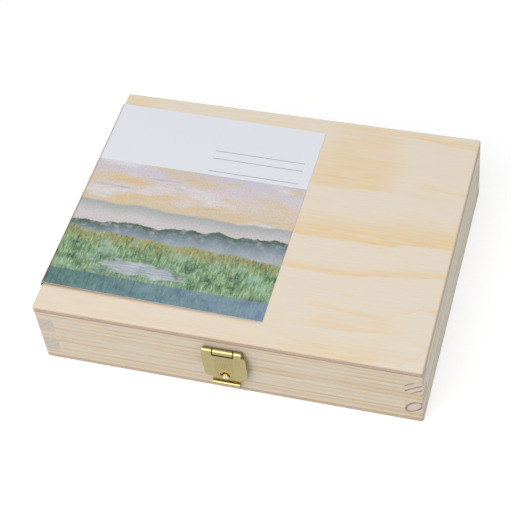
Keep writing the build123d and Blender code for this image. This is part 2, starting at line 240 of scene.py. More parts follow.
front_face = ("#DCD2C1", "#D3B48A", "#D2CCC2", "#A58A74")
side_face = ("#E0DBCE", "#D2B896", "#D8CFC2", "#925A2C")
left_ends = ("#DFD9CC", "#D2B792", "#CDC4B7", "#C2B8AA")
for place, along, pith, ring_mm, colours, lid_seed, base_seed in (
    ("front", "X", (-60, 260), 3.75, front_face, 0.31, 0.31),
    ("back", "X", (40, -190), 4.1, front_face, 1.7, 1.7),
    ("left", "Y", (-150, 78), 3.2, left_ends, 2.3, 2.9),
):
    for half, seed in (("lid", lid_seed), ("base", base_seed)):
        finish = sawn_pine(f"pine_{half}_{place}", along, pith, ring_mm, *colours, seed)
        clothe(f"{half}_{place}_board", finish)
clothe("lid_right_board", sawn_pine("pine_lid_right", "Y", (134, -8.8), 3.6, *side_face, 3.1))
clothe("base_right_board", sawn_pine(
    "pine_base_right", "Y", (106, 14.1), 3.8, *side_face, 3.7, lean=-46.0, oval=1.9,
))


# Lid and base panels: 3 mm pine plywood, sanded, glued on whole. The flat-sawn face veneer has
# wide wavy yellow bands along X; on the edges the core ply shows its end grain as a brown line.
def pine_plywood(name, low, core_stops, figure, card_shadow=0.0):
    """Three-ply whose underside is at low, in mm; core_stops say how much core shows up its edge. Each
    band of the figure is a line of (x, y) that is its crisp lower edge, its depth above that line, its
    strength, and the x between which it shows. The last argument is how brown a painted shadow along the
    card's front edge makes the veneer."""
    half_wide, half_deep, sway_mm = 111.0, 90.0, 3.0
    ply = blank(name)
    place = add(ply, "TexCoord").outputs
    in_mm = add(ply, "Mapping", {"Vector": place["Object"], "Scale": (1000, 1000, 1000)})
    spot = add(ply, "SeparateXYZ", {0: in_mm}).outputs
    # Streaks 1 to 2 mm apart and 30 mm long break the bands up
    streak_lines = add(ply, "Mapping", {"Vector": in_mm, "Scale": (0.04, 1, 1)})
    streaks = add(ply, "TexNoise", {"Vector": streak_lines, "Scale": 0.62, "Detail": 5, "Roughness": 0.72})
    streaking = add(ply, "MapRange", {0: streaks, 1: 0.36, 2: 0.62, 3: 0.3, 4: 1.12})
    sway_lines = add(ply, "Mapping", {"Vector": in_mm, "Scale": (0.05, 0.2, 1)})
    sway = add(ply, "TexNoise", {"Vector": sway_lines, "Scale": 1, "Detail": 3})
    swayed = add(ply, "Math", {0: sway, 1: sway_mm, 2: spot["Y"]}, operation="MULTIPLY_ADD")
    along = add(ply, "MapRange", {0: spot["X"], 1: -half_wide, 2: half_wide})
    ring = 0.0
    for line, deep, strength, (first, last) in figure:
        edge_line = add(ply, "ValToRGB", {0: along}, stops=[
            (0.5 + x / (2 * half_wide), 0.5 + y / (2 * half_deep)) for x, y in line
        ])
        edge_line.color_ramp.interpolation = "EASE"
        edge_y = add(
            ply, "Math", {0: edge_line, 1: 2 * half_deep, 2: sway_mm / 2 - half_deep},
            operation="MULTIPLY_ADD",
        )
        above = add(ply, "Math", {0: swayed, 1: edge_y}, operation="SUBTRACT")
        depth = add(ply, "MapRange", {0: above, 1: -0.1 * deep, 2: deep})
        profile = add(ply, "ValToRGB", {0: depth}, stops=[
            (0, 0), (0.08, 0), (0.12 + 0.3 / deep, 1), (0.45, 0.65), (0.7, 0.3), (1, 0),
        ])
        arrives = add(ply, "MapRange", {0: spot["X"], 1: first - 9, 2: first + 9, 4: strength})
        leaves = add(ply, "MapRange", {0: spot["X"], 1: last - 9, 2: last + 9, 3: 1, 4: 0})
        shown = add(ply, "Math", {0: arrives, 1: leaves}, operation="MULTIPLY")
        band = add(ply, "Math", {0: profile, 1: shown}, operation="MULTIPLY")
        ring = add(ply, "Math", {0: band, 1: ring}, operation="MAXIMUM")
    ring = add(ply, "Math", {0: ring, 1: streaking}, operation="MULTIPLY")
    # Between the bands the early wood is nearly plain, with faint warm clouds
    cloud = add(ply, "MapRange", {0: sway, 1: 0.45, 2: 0.7, 4: 0.16})
    ring = add(ply, "Math", {0: cloud, 1: streaking, 2: ring}, operation="MULTIPLY_ADD", use_clamp=True)
    veneer = add(ply, "Mix", {0: ring, 6: "#EBDFCE", 7: "#EECA8A"})
    fibre_lines = add(ply, "Mapping", {"Vector": in_mm, "Scale": (0.03, 1, 1)})
    fibres = add(ply, "TexNoise", {"Vector": fibre_lines, "Scale": 1.9, "Detail": 3, "Roughness": 0.65})
    fibre_tone = add(ply, "MapRange", {0: fibres, 1: 0.3, 2: 0.7, 3: 0.965, 4: 1.02})
    # The edges: face veneer, dark core, face veneer, as unevenly cut as plies are
    ragged = add(ply, "TexNoise", {"Vector": in_mm, "Scale": 0.16, "Detail": 3})
    lift = add(ply, "MapRange", {0: spot["Z"], 1: low, 2: low + 3.0})
    uneven = add(ply, "Math", {0: ragged, 1: 0.12, 2: lift}, operation="MULTIPLY_ADD")
    core = add(ply, "ValToRGB", {0: uneven}, stops=core_stops)
    facing = add(ply, "SeparateXYZ", {0: place["Normal"]}).outputs
    upright = add(ply, "Math", {0: facing["Z"]}, operation="ABSOLUTE")
    edge = add(ply, "MapRange", {0: upright, 1: 0.72, 2: 0.96, 3: 1, 4: 0})
    core_seen = add(ply, "Math", {0: core, 1: edge}, operation="MULTIPLY")
    # Painted shade: the arris is painted tanner than the flat, to damp the highlight its rounding catches
    arris_shade = add(ply, "MapRange", {0: upright, 1: 0.8, 2: 0.995, 3: 1, 4: 0})
    arris = add(ply, "Mix", {0: arris_shade, 6: veneer, 7: "#DFCBAF"})
    # Painted shadow: the top face is painted brown for 2 mm along the card's front edge, most of all on
    # the left, for the shadow of the lifted card
    card_edge = add(ply, "Math", {0: spot["X"], 1: -0.0163, 2: -70.3}, operation="MULTIPLY_ADD")
    ahead = add(ply, "Math", {0: card_edge, 1: spot["Y"]}, operation="SUBTRACT")
    from_edge = add(ply, "Math", {0: ahead}, operation="ABSOLUTE")
    card_shadow_fade = add(ply, "MapRange", {0: from_edge, 1: 0.1, 2: 2.2, 3: card_shadow, 4: 0})
    card_shadow_left = add(ply, "ValToRGB", {0: along}, stops=[(0.05, 1), (0.57, 0.4), (0.585, 0)])
    top_face = add(ply, "Math", {0: lift, 1: 0.9}, operation="GREATER_THAN")
    card_shadow_top = add(ply, "Math", {0: card_shadow_left, 1: top_face}, operation="MULTIPLY")
    card_shadow_mask = add(ply, "Math", {0: card_shadow_fade, 1: card_shadow_top}, operation="MULTIPLY")
    face = add(ply, "Mix", {0: card_shadow_mask, 6: arris, 7: "#BC8A5A"})
    core_grit = add(ply, "TexNoise", {"Vector": in_mm, "Scale": 0.9, "Detail": 3})
    core_colour = add(ply, "ValToRGB", {0: core_grit}, stops=[(0.3, "#B8A190"), (0.7, "#CDB6A3")])
    cut_colour = add(ply, "Mix", {0: core_seen, 6: face, 7: core_colour})
    colour = add(ply, "Mix", {0: 1, 6: cut_colour, 7: fibre_tone}, blend_type="MULTIPLY")
    surfaced(ply, {
        "Base Color": colour, "Roughness": 0.55, "IOR": 1.45, "Specular IOR Level": 0.35,
    }, fibres, strength=0.3, depth=0.00008)
    return ply


lid_figure = (
    (((-111, -12), (-30, -2), (19, -5.5), (74, -5.5), (86, -2), (111, -1.5)), 14, 0.85, (-111, 130)),
    (((-111, -9), (19, -4.5), (60, -5), (86, -1.5), (111, -0.5)), 22, 0.82, (-111, 130)),
    (((-111, -34), (-40, -25), (19, -30.5), (34, -31), (60, -30), (76, -27.5), (90, -24.5), (111, -23)),
     8, 0.72, (-111, 130)),
    (((-111, -60), (0, -50), (45, -53.5), (60, -55), (84, -56.5), (93, -50.5), (103, -46), (111, -46.5)),
     4.5, 0.5, (40, 130)),
    (((19, -70), (60, -68), (111, -62)), 15, 0.42, (42, 90)),
    (((19, -88), (60, -86), (111, -83)), 17, 0.5, (30, 92)),
    (((90, -90), (104, -80), (111, -72)), 6, 0.4, (98, 130)),
    (((-111, 30), (19, 33.5), (111, 35)), 52, 0.62, (-111, 66)),
    (((19, 47), (60, 50), (111, 54)), 60, 0.56, (22, 66)),
    (((60, 42.5), (84, 42), (111, 39.5)), 5, 0.5, (82, 130)),
    (((60, 34), (111, 33)), 4, 0.25, (74, 130)),
    (((-111, 78.5), (40, 80), (75, 79.5), (96, 77.5), (111, 76.5)), 8, 0.6, (34, 130)),
    (((-111, 68), (-60, 70)), 36, 0.75, (-130, -92)),
    # The last band, faint and wide, between the card and the lid's front edge, is partly grain and partly
    # a painted warm shade from the card
    (((-111, -93), (19, -90)), 30, 0.2, (-130, 40)),
)
under_figure = (
    (((-111, -50), (-20, -30), (60, -36), (111, -20)), 22, 0.9, (-130, 130)),
    (((-111, 4), (-30, 12), (50, 0), (111, 14)), 9, 0.8, (-130, 130)),
    (((-111, 44), (0, 36), (111, 50)), 30, 0.7, (-130, 60)),
    (((-111, -78), (111, -70)), 8, 0.6, (-60, 130)),
)
lid_core = ((0, 0.75), (0.1, 0.9), (0.2, 1), (0.66, 1), (0.78, 0.35), (0.9, 0))
base_core = ((0, 1), (0.72, 1), (0.86, 0.75), (1, 0.6))
clothe("lid_panel", pine_plywood("pine_plywood_lid", 44.0, lid_core, lid_figure, card_shadow=0.75))
clothe("base_panel", pine_plywood("pine_plywood_base", 0.0, base_core, under_figure))


# Dividers: thin sanded pine slats, a long one along the brush trough and four short ones between
# the tube bays, pushed into grooves without glue.
slat_face = ("#E4D6BF", "#D8B98E", "#D6C4A8", "#A98863")
clothe("trough_divider", sawn_pine("pine_slat_long", "X", (-38, -60), 2.6, *slat_face, 5.3))
slat = sawn_pine("pine_slat_short", "Y", (0, -45), 2.4, *slat_face, 6.1)
for number in range(1, 5):
    clothe(f"bay_divider_{number}", slat)


# Brass: cold-rolled sheet about 0.8 mm thick, stamped, rolled and clear lacquered. It is a dull olive
# yellow where it mirrors the paper, and shines where a bend catches the soft box.
def stamped_brass(name, tint, flutes=None, patches=(), deep=2.8):
    """Lacquered sheet brass, in mm: flutes is (middle x, half width, pitch) of a band of fine upright
    grooves, patches are places (x, y, z, reach, colour) painted a colour of their own as painted
    reflections, highlights and shade, and deep is how far the painted shade reaches out of a corner."""
    brass = blank(name)
    place = add(brass, "TexCoord").outputs
    stain = add(brass, "TexNoise", {"Vector": place["Object"], "Scale": 260, "Detail": 3})
    clean = add(brass, "ValToRGB", {0: stain}, stops=[(0.3, tint[0]), (0.7, tint[1])])
    if flutes:
        # The grooves are darker
        spot = add(brass, "SeparateXYZ", {0: place["Object"]}).outputs
        off = add(brass, "Math", {0: spot["X"], 1: flutes[0] / 1000}, operation="SUBTRACT")
        away = add(brass, "Math", {0: off}, operation="ABSOLUTE")
        inside = add(brass, "MapRange", {
            0: away, 1: flutes[1] / 1000 - 0.0006, 2: flutes[1] / 1000, 3: 0.62, 4: 0,
        })
        turn = add(brass, "Math", {0: off, 1: 2000 * math.pi / flutes[2]}, operation="MULTIPLY")
        wave = add(brass, "Math", {0: turn}, operation="COSINE")
        groove = add(brass, "MapRange", {0: wave, 1: 0.1, 2: -1})
        in_grooves = add(brass, "Math", {0: groove, 1: inside}, operation="MULTIPLY")
        clean = add(brass, "Mix", {0: in_grooves, 6: clean, 7: "#86733F"})
    # Painted light: each patch paints a reflection, highlight or shade in its own colour
    for x, y, z, reach, painted_tint in patches:
        far = add(brass, "VectorMath", {
            0: place["Object"], 1: (x / 1000, y / 1000, z / 1000),
        }, operation="DISTANCE")
        near = add(brass, "MapRange", {0: far, 1: 0.00055 * reach, 2: 0.001 * reach, 3: 1, 4: 0})
        clean = add(brass, "Mix", {0: near, 6: clean, 7: painted_tint})
    # Painted shade: where ambient occlusion finds the brass hemmed in it is painted orange, then brown,
    # for the shade and the wood's reflection in its corners
    occlusion = add(brass, "AmbientOcclusion", {"Distance": deep / 1000}, samples=8)
    crevice_shade = add(brass, "ValToRGB", {0: occlusion.outputs["AO"]}, stops=[
        (0.12, "#4A3014"), (0.4, "#A97C3C"), (0.6, "#DDBA74"), (0.78, "#FFFFFF"),
    ])
    colour = add(brass, "Mix", {0: 1, 6: clean, 7: crevice_shade}, blend_type="MULTIPLY")
    # Rolling marks 0.15 mm apart along Z
    rolled = add(brass, "Mapping", {"Vector": place["Object"], "Scale": (1, 1, 0.05)})
    marks = add(brass, "TexNoise", {"Vector": rolled, "Scale": 6500})
    rough = add(brass, "MapRange", {0: stain, 1: 0.3, 2: 0.7, 3: 0.27, 4: 0.35})
    surfaced(brass, {
        "Base Color": colour, "Metallic": 1, "Roughness": rough, "Coat Weight": 0.6,
        "Coat Roughness": 0.25,
    }, marks, strength=0.25, depth=0.00002)
    return brass


# Painted light where the flap meets the catch: the arch's rim and the top of the nose are painted golden
# as painted reflections, the nose's foot is painted pale as a painted highlight, and the plate behind them
# is painted dark brown as painted shade
sheet_tint = ("#A99963", "#B4A66F")
sheet_brass = stamped_brass("lacquered_sheet_brass", sheet_tint)
flutes = (0.5, 5.7, 0.95)
fluted_brass = stamped_brass(
    "fluted_sheet_brass", sheet_tint, flutes, patches=((0.6, -90.6, 20.2, 4.1, "#D9AC46"),),
)
catch_brass = stamped_brass("pressed_sheet_brass", sheet_tint, deep=2.0, patches=(
    (0.6, -86.6, 18.8, 5.0, "#38260F"), (0.6, -90.4, 20.0, 2.6, "#BF9A48"),
    (0.6, -91.8, 17.2, 2.7, "#E6DFC2"),
))
brass_wire = stamped_brass("drawn_brass_wire", ("#9C7C3E", "#B08E4C"))


# Hasp: a leaf nailed to the lid, whose neck rolls into the centre knuckle, and a flap whose top
# corners roll into the outer knuckles, on one wire pin. The flap's arch slips over the catch.
def draw(shape, start, *moves):
    """Draws an outline in the XZ plane, in mm: (x, z) runs straight to there, and (x, z, degrees) turns
    about there."""
    tip = bmesh.ops.create_vert(shape, co=(start[0], 0, start[1]))["vert"][0]
    for x, z, *turn in moves:
        if turn:
            steps = max(3, round(abs(turn[0]) / 9))
            tip = bmesh.ops.spin(
                shape, geom=[tip], cent=(x, 0, z), axis=(0, 1, 0), angle=math.radians(turn[0]),
                steps=steps,
            )["geom_last"][0]
        else:
            tip = bmesh.ops.extrude_vert_indiv(shape, verts=[tip])["verts"][0]
            tip.co = (x, 0, z)
    bmesh.ops.remove_doubles(shape, verts=shape.verts, dist=0.001)
    bmesh.ops.contextual_create(shape, geom=shape.edges)


def slice_up(shape, axis, places):
    """Cuts the whole shape at these places along an axis, so that it can bend there."""
    bmesh.ops.triangulate(shape, faces=shape.faces)
    square = Matrix.Identity(3)[axis]
    for at in places:
        everything = shape.verts[:] + shape.edges[:] + shape.faces[:]
        bmesh.ops.bisect_plane(shape, geom=everything, dist=0.0001, plane_co=square * at, plane_no=square)
    # Of the inner edges only those along an axis stay
    slanting = [
        edge for edge in shape.edges
        if len(edge.link_faces) == 2 and edge.calc_face_angle(1.0) < 0.01
        and sum(abs(step) > 0.0002 for step in edge.verts[0].co - edge.verts[1].co) > 1
    ]
    bmesh.ops.dissolve_edges(shape, edges=slanting)


def only(kind, geometry):
    """The BMVert, BMEdge or BMFace parts of what an operator made."""
    return [part for part in geometry if isinstance(part, kind)]


def thicken(shape, depth):
    """Gives a drawn sheet its thickness along Y, in mm."""
    made = bmesh.ops.extrude_face_region(shape, geom=shape.faces[:])["geom"]
    bmesh.ops.translate(shape, vec=(0, depth, 0), verts=only(BMVert, made))


def faces_at(shape, axis, place, low=-1000.0, high=1000.0):
    """The faces square to an axis at a place whose middles lie between low and high along X."""
    return [
        face for face in shape.faces
        if abs(face.normal[axis]) > 0.99 and abs(face.calc_center_median()[axis] - place) < 0.01
        and low <= face.calc_center_median().x <= high
    ]


def roll_up(shape, faces, y, z, degrees, steps=24):
    """Carries on a sheet from its end faces round an axis along X at y, z, and gives the new end faces."""
    rolled = bmesh.ops.spin(
        shape, geom=faces, cent=(0, y, z), axis=(1, 0, 0), angle=math.radians(degrees), steps=steps,
    )
    return only(BMFace, rolled["geom_last"])


def piece(name, shape, finish, body, *stands_for, soft=35, rim=0.0):
    """Makes a bmesh in mm a finished piece that rides on a body and stands for CAD nodes. Edges flatter
    than soft degrees are smooth, and rim rounds the others, in mm."""
    bmesh.ops.remove_doubles(shape, verts=shape.verts, dist=0.002)
    bmesh.ops.recalc_face_normals(shape, faces=shape.faces)
    bmesh.ops.scale(shape, vec=(0.001, 0.001, 0.001), verts=shape.verts)
    for edge in shape.edges:
        edge.smooth = len(edge.link_faces) == 2 and edge.calc_face_angle(0) < math.radians(soft)
    for face in shape.faces:
        face.smooth = True
    mesh = bpy.data.meshes.new(name)
    shape.to_mesh(mesh)
    shape.free()
    mesh.materials.append(finish)
    made = bpy.data.objects.new(name, mesh)
    scene.collection.objects.link(made)
    if rim:
        rounding = made.modifiers.new("rim", "BEVEL")
        rounding.width, rounding.segments, rounding.limit_method = rim / 1000, 2, "ANGLE"
        rounding.angle_limit, rounding.harden_normals = math.radians(soft), True
        flats = made.modifiers.new("flat faces", "WEIGHTED_NORMAL")
        flats.keep_sharp = True
    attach(made, body)
    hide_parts(*stands_for)
    return made


front, back = -86.0, 86.0
hasp_x, hasp_z, barrel, sheet = 0.6, 37.6, 1.9, 0.8
barrel_y = front - 0.2 - barrel
flap_face = barrel_y - barrel
centre_from, centre_to = hasp_x - 5.7, hasp_x + 5.7
barrel_from, barrel_to = hasp_x - 11.75, hasp_x + 10.7
flap_from, flap_to, flap_foot, flap_round = hasp_x - 12.2, hasp_x + 13.0, 16.1, 4.0
notch_from, notch_to, notch_z, notch_round = centre_from - 0.6, centre_to + 0.6, hasp_z - 1.7, 0.3
shoulder_z, shoulder_round, arch_z, arch_half = hasp_z - 0.6, 2.2, 19.7, 2.9

shape = bmesh.new()
draw(
    shape, (flap_from, flap_foot + flap_round), (flap_from, hasp_z - 0.4),
    (flap_from + 0.4, hasp_z - 0.4, 90), (barrel_from, hasp_z), (notch_from, hasp_z),
    (notch_from, notch_z + notch_round), (notch_from + notch_round, notch_z + notch_round, -90),
    (notch_to - notch_round, notch_z), (notch_to - notch_round, notch_z + notch_round, -90),
    (notch_to, hasp_z), (barrel_to, hasp_z),
    (barrel_to, shoulder_z), (flap_to - shoulder_round, shoulder_z),
    (flap_to - shoulder_round, shoulder_z - shoulder_round, 90), (flap_to, flap_foot + flap_round),
    (flap_to - flap_round, flap_foot + flap_round, 90), (hasp_x + arch_half, flap_foot),
    (hasp_x + arch_half, arch_z), (hasp_x, arch_z, -180), (hasp_x - arch_half, flap_foot),
    (flap_from + flap_round, flap_foot), (flap_from + flap_round, flap_foot + flap_round, 90),
)
flutes_x, fluted_half, flute = flutes
slice_up(shape, 0, [barrel_from, barrel_to] + [flutes_x + flute / 4 * k for k in range(-24, 25)])
# Close cuts up the arch, and a few above and below it
round_arch = [18.9 + 0.27 * k for k in range(21)]
slice_up(shape, 2, [17.2, 17.9, 18.6, notch_z, 37.2] + round_arch + [25.2, 27, 29, 31, 33, 34.3])
thicken(shape, sheet)
bmesh.ops.translate(shape, vec=(0, flap_face, 0), verts=shape.verts)
for left, right in ((barrel_from, notch_from), (notch_to, barrel_to)):
    roll_up(shape, faces_at(shape, 2, hasp_z, left, right), barrel_y, hasp_z, -300)
# Its middle is fluted, and the arch's rim is turned out where it slips over the catch's nose
for vertex in shape.verts:
    if vertex.co.y < flap_face + 0.1 and flap_foot < vertex.co.z < notch_z:
        inside = min(1.0, max(0.0, (fluted_half - abs(vertex.co.x - flutes_x)) / 0.5))
        ends = min(1.0, vertex.co.z - flap_foot, notch_z - vertex.co.z)
        groove = 0.5 - 0.5 * math.cos(2 * math.pi * (vertex.co.x - flutes_x) / flute)
        vertex.co.y += 0.045 * inside * ends * groove
    out = math.hypot(vertex.co.x - hasp_x, vertex.co.z - arch_z) - arch_half
    up = vertex.co.z - arch_z + 1.0
    if vertex.co.y < flap_face + 1.0 and up > 0 and out < 2:
        vertex.co.y -= 0.7 * math.exp(-((out / 0.6) ** 2)) * min(1.0, up)
flap = piece("hasp_flap_stamped", shape, fluted_brass, "hasp", "hasp_flap", rim=0.12)

leaf_from, leaf_to, leaf_foot, leaf_round = hasp_x - 8.8, hasp_x + 8.8, 24.9, 1.5
neck_z = hasp_z - barrel - 0.35
shape = bmesh.new()
draw(
    shape, (leaf_from, leaf_foot), (leaf_from, neck_z - leaf_round),
    (leaf_from + leaf_round, neck_z - leaf_round, 90), (centre_from, neck_z), (centre_from, hasp_z),
    (centre_to, hasp_z), (centre_to, neck_z), (leaf_to - leaf_round, neck_z),
    (leaf_to - leaf_round, neck_z - leaf_round, 90), (leaf_to, leaf_foot),
)
thicken(shape, sheet)
bmesh.ops.translate(shape, vec=(0, front - sheet, 0), verts=shape.verts)
# The neck eases out from the wood to meet the barrel
for face in faces_at(shape, 2, hasp_z):
    for vertex in face.verts:
        vertex.co.y -= 0.2
roll_up(shape, faces_at(shape, 2, hasp_z), barrel_y, hasp_z, 305)
leaf = piece("hasp_leaf_stamped", shape, sheet_brass, "lid", "hasp_leaf", rim=0.12)

pin_radius, pin_length = 1.05, 22.8
shape = bmesh.new()
bmesh.ops.create_cone(
    shape, cap_ends=True, segments=32, radius1=pin_radius, radius2=pin_radius, depth=pin_length,
    matrix=Matrix.Translation((hasp_x - 0.35, barrel_y, hasp_z)) @ Matrix.Rotation(math.pi / 2, 4, "Y"),
)
pin = piece("hasp_wire_pin", shape, brass_wire, "hasp", "hasp_pin", rim=0.25)
clothe("hasp_leaf_nails", brass_wire)
clothe("catch_nails", brass_wire)


# Catch: a plate nailed to the base, with a creased nose pressed out through the flap's arch and a
# foot that leans out to a rolled lip, for a fingernail.
catch_from, catch_to, catch_top, catch_round = hasp_x - 8.7, hasp_x + 7.7, 21.6, 1.0
foot_out, foot_z, bend_z, lip, nose_radius, nose_z = 3.3, 10.0, 13.2, 1.45, 2.1, 17.6
shape = bmesh.new()
draw(
    shape, (catch_from, bend_z), (catch_from, catch_top - catch_round),
    (catch_from + catch_round, catch_top - catch_round, 90), (catch_to - catch_round, catch_top),
    (catch_to - catch_round, catch_top - catch_round, 90), (catch_to, bend_z),
)
thicken(shape, sheet)
bmesh.ops.translate(shape, vec=(0, front - sheet, 0), verts=shape.verts)
# The foot leans out from the bend, meets the roll tangent to its wall, and curls forward and up
foot_run, wall = math.hypot(foot_out - sheet / 2, foot_z - bend_z), lip - sheet / 2
lean = math.pi / 2 - math.atan2(bend_z - foot_z, foot_out - sheet / 2) - math.asin(wall / foot_run)
top_end = faces_at(shape, 2, bend_z)
bent = roll_up(shape, top_end, front - sheet - 0.3, bend_z, -math.degrees(lean), steps=6)
foot = bmesh.ops.extrude_discrete_faces(shape, faces=bent)["faces"]
run = Vector((0, -math.sin(lean), -math.cos(lean)))
bmesh.ops.translate(shape, vec=run * (math.sqrt(foot_run**2 - wall**2) - 0.2), verts=foot[0].verts)
roll_axis = foot[0].calc_center_median() + Vector((0, run.z, -run.y)) * wall
roll_up(shape, foot, roll_axis.y, roll_axis.z, -300)
# Nose: a round boss, creased down its middle
nose = bmesh.ops.create_uvsphere(shape, u_segments=40, v_segments=24, radius=nose_radius)["verts"]
for vertex in nose:
    if vertex.co.y < 0:
        vertex.co.y += 0.6 * math.exp(-((vertex.co.x / 0.45) ** 2)) * min(1.0, -vertex.co.y / 1.4)
bmesh.ops.scale(shape, vec=(1.1, 0.95, 1.0), verts=nose)
bmesh.ops.translate(shape, vec=(hasp_x, flap_face + 0.5, nose_z), verts=nose)
catch = piece("catch_plate_stamped", shape, catch_brass, "base", "catch_plate", rim=0.1)


# Butt hinges: two at the back, each a pair of leaves of the same sheet with rolled knuckles on a
# wire pin, held by round-headed brass nails.
hinge_y, hinge_z, hinge_half, hinge_high, hinge_round, knuckle_high = 87.8, 23.425, 12.5, 9.5, 1.0, 2.2
for side, x in (("left", -68.0), ("right", 68.0)):
    # The base's leaf carries the outer knuckles, and the lid's leaf the middle one
    for body, up, half_gap in (("base", -1, 5.1), ("lid", 1, 4.5)):
        outer_z, middle_z = (0, -knuckle_high) if body == "base" else (knuckle_high, 0)
        turn_z, turn_x = up * (hinge_high - hinge_round), hinge_half - hinge_round
        shape = bmesh.new()
        draw(
            shape, (x - hinge_half, outer_z), (x - hinge_half, turn_z), (x - turn_x, turn_z, up * 90),
            (x + turn_x, up * hinge_high), (x + turn_x, turn_z, up * 90), (x + hinge_half, outer_z),
            (x + half_gap, outer_z), (x + half_gap, middle_z), (x - half_gap, middle_z),
            (x - half_gap, outer_z),
        )
        thicken(shape, sheet)
        bmesh.ops.translate(shape, vec=(0, back, hinge_z), verts=shape.verts)
        knuckle_ends = faces_at(shape, 2, hinge_z)
        for vertex in {v for face in knuckle_ends for v in face.verts}:
            vertex.co.y += 0.2
        roll_up(shape, knuckle_ends, hinge_y, hinge_z, up * -300)
        hinge = piece(
            f"{side}_hinge_{body}_stamped", shape, sheet_brass, body, f"{side}_hinge_{body}_leaf", rim=0.1,
        )
    clothe(f"{side}_hinge_pin", brass_wire)
clothe("base_hinge_nails", brass_wire)
clothe("lid_hinge_nails", brass_wire)


# Card: coated printed card, laid on the lid and folded down over its left edge, where it stands a
# little off the wood. Its front edge curls up slightly. It carries a soft wash of hills and a pond.
shape = bmesh.new()
lid_top, fold_x, fold_z, side_x, card_foot, card_thick = 47.0, -110.0, 45.3, -111.1, 24.2, 0.35
card_x, card_y, askew = 18.8, -70.6, 2.1
corners = ((card_x, card_y, lid_top), (19.2, 74.2, lid_top))
ends = [bmesh.ops.create_vert(shape, co=corner)["vert"][0] for corner in corners]
right_edge = bmesh.ops.contextual_create(shape, geom=ends)["edges"]
bmesh.ops.subdivide_edges(shape, edges=right_edge, cuts=36)
across_lid = bmesh.ops.extrude_edge_only(shape, edges=shape.edges[:])["geom"]
for vertex in only(BMVert, across_lid):
    vertex.co.x = fold_x
    vertex.co.y += askew
fold = bmesh.ops.spin(
    shape, geom=only(BMEdge, across_lid), cent=(fold_x, 0, fold_z), axis=(0, 1, 0), angle=-math.pi / 2,
    steps=8,
)["geom_last"]
down_side = bmesh.ops.extrude_edge_only(shape, edges=only(BMEdge, fold))["geom"]
for vertex in only(BMVert, down_side):
    vertex.co.x, vertex.co.z = side_x, card_foot
slice_up(shape, 0, [-104 + 9 * k for k in range(14)])
slice_up(shape, 2, [27, 31, 35, 39, 42.5])
bmesh.ops.remove_doubles(shape, verts=shape.verts, dist=0.001)
bmesh.ops.recalc_face_normals(shape, faces=shape.faces)
if max(shape.faces, key=lambda face: face.calc_area()).normal.z > 0:
    bmesh.ops.reverse_faces(shape, faces=shape.faces)
bmesh.ops.solidify(shape, geom=shape.faces[:], thickness=card_thick)
for vertex in shape.verts:
    along_front = max(0.0, vertex.co.x - fold_x) / (card_x - fold_x)
    from_front = vertex.co.y - card_y - askew * (1 - along_front)
    near_front = min(1.0, max(0.0, 1 - from_front / 6.0))
    if vertex.co.z > lid_top - 0.5:
        vertex.co.z += (0.65 - 0.4 * along_front) * near_front**2
    else:
        vertex.co.x -= 0.5 * near_front**2 * (vertex.co.z - 22.0) / 25.0

label = blank("coated_printed_card")
place = add(label, "TexCoord").outputs
in_mm = add(label, "Mapping", {"Vector": place["Object"], "Scale": (1000, 1000, 1000)})
spot = add(label, "SeparateXYZ", {0: in_mm}).outputs
# Laid flat again, so that the print runs on down the folded side; it is printed a little askew
below_fold = add(label, "Math", {0: fold_z, 1: spot["Z"]}, operation="SUBTRACT")
folded = add(label, "Math", {0: below_fold, 1: 0}, operation="MAXIMUM")
u = add(label, "Math", {0: spot["X"], 1: folded}, operation="SUBTRACT")
v = add(label, "Math", {0: u, 1: 0.0132, 2: spot["Y"]}, operation="MULTIPLY_ADD")
flat = add(label, "CombineXYZ", {0: u, 1: v})


def crest(height, swing, width, seed, slope=0.0, fuzz=0.0):
    """How far, in mm, a point of the print lies above a wandering line of hills, roughened by fuzz mm."""
    turned_to = add(label, "Math", {0: u, 1: 1 / width, 2: seed}, operation="MULTIPLY_ADD")
    wander = add(label, "TexNoise", {
        "W": turned_to, "Scale": 1, "Detail": 4, "Roughness": 0.42,
    }, noise_dimensions="1D")
    risen = add(label, "Math", {0: wander, 1: -swing, 2: v}, operation="MULTIPLY_ADD")
    sloped = add(label, "Math", {0: u, 1: -slope, 2: risen}, operation="MULTIPLY_ADD")
    tufts = add(label, "TexNoise", {"Vector": flat, "Scale": 0.85, "Detail": 4, "Roughness": 0.75})
    rough = add(label, "Math", {0: tufts, 1: fuzz, 2: sloped}, operation="MULTIPLY_ADD")
    return add(label, "Math", {0: rough, 1: height + fuzz / 2}, operation="SUBTRACT")


def washed(over, amount, tint):
    """Lays a wash over the print so far; amount is 0 to 1."""
    return add(label, "Mix", {0: amount, 6: over, 7: tint})


def under(distance, soft):
    """1 under a line and 0 above it, soft over this many mm."""
    return add(label, "MapRange", {0: distance, 1: -soft, 2: soft, 3: 1, 4: 0})


def blotches(stretch, scale, low, high, roughness=0.6):
    """Uneven pigment, 0 to 1, with its scales along and across the print and overall."""
    drawn = add(label, "Mapping", {"Vector": flat, "Scale": (*stretch, 1)})
    pigment = add(label, "TexNoise", {
        "Vector": drawn, "Scale": scale, "Detail": 4, "Roughness": roughness,
    })
    return add(label, "MapRange", {0: pigment, 1: low, 2: high})


def faded(distance, *stops):
    """A wash whose colour runs from mm to mm below a line; stops are (mm, colour), the deepest first."""
    deepest = stops[0][0]
    share = add(label, "MapRange", {0: distance, 1: deepest, 2: 0})
    return add(label, "ValToRGB", {0: share}, stops=[(1 - depth / deepest, tint) for depth, tint in stops])


def both(one, other):
    """The product of two amounts."""
    return add(label, "Math", {0: one, 1: other}, operation="MULTIPLY")


